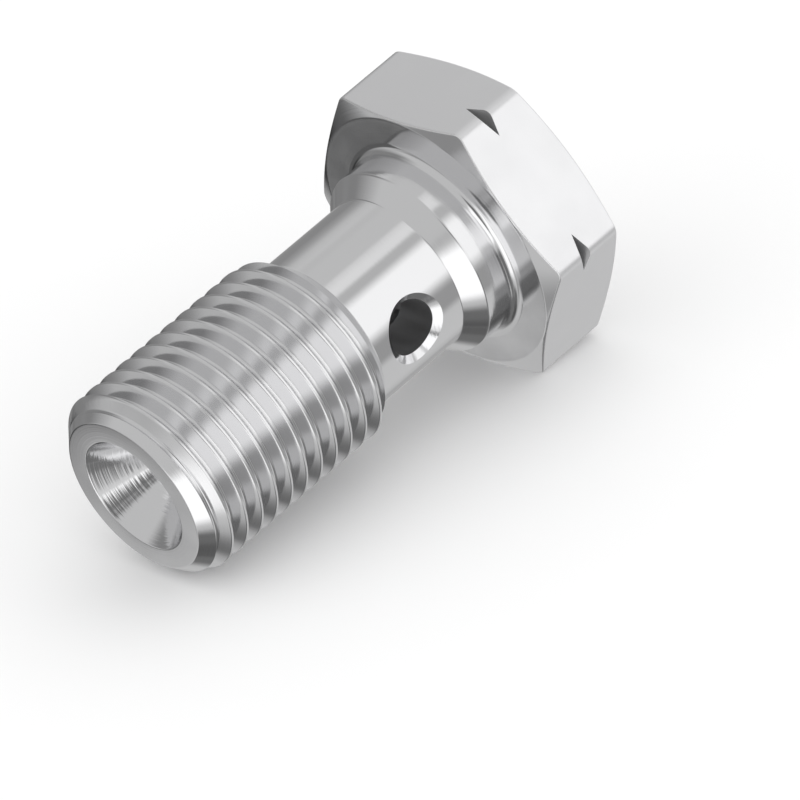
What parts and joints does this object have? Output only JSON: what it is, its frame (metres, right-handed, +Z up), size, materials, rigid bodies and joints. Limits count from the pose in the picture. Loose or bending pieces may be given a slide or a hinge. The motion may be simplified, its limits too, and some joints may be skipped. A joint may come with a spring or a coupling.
{
  "type": "banjo bolt",
  "caption": "Hollow banjo bolt with a fine right-hand thread, a drilled neck, a chamfered collar and a hexagon head notched at its corners, lying on its side.",
  "frame": {"origin": "centre of the bounding box in X and Y, on the plane that the bolt lies on", "axes": "+Z up, +X along the bolt from its tip to its head, with the axis rising 6 degrees towards the head; the seen mouth of the cross hole faces -Y"},
  "size_m": [0.0262, 0.016, 0.0144],
  "materials": {
    "banjo_bolt": "bright turned and plated steel"
  },
  "bodies": {
    "root": {"banjo_bolt": "banjo_bolt"}
  },
  "joints": []
}
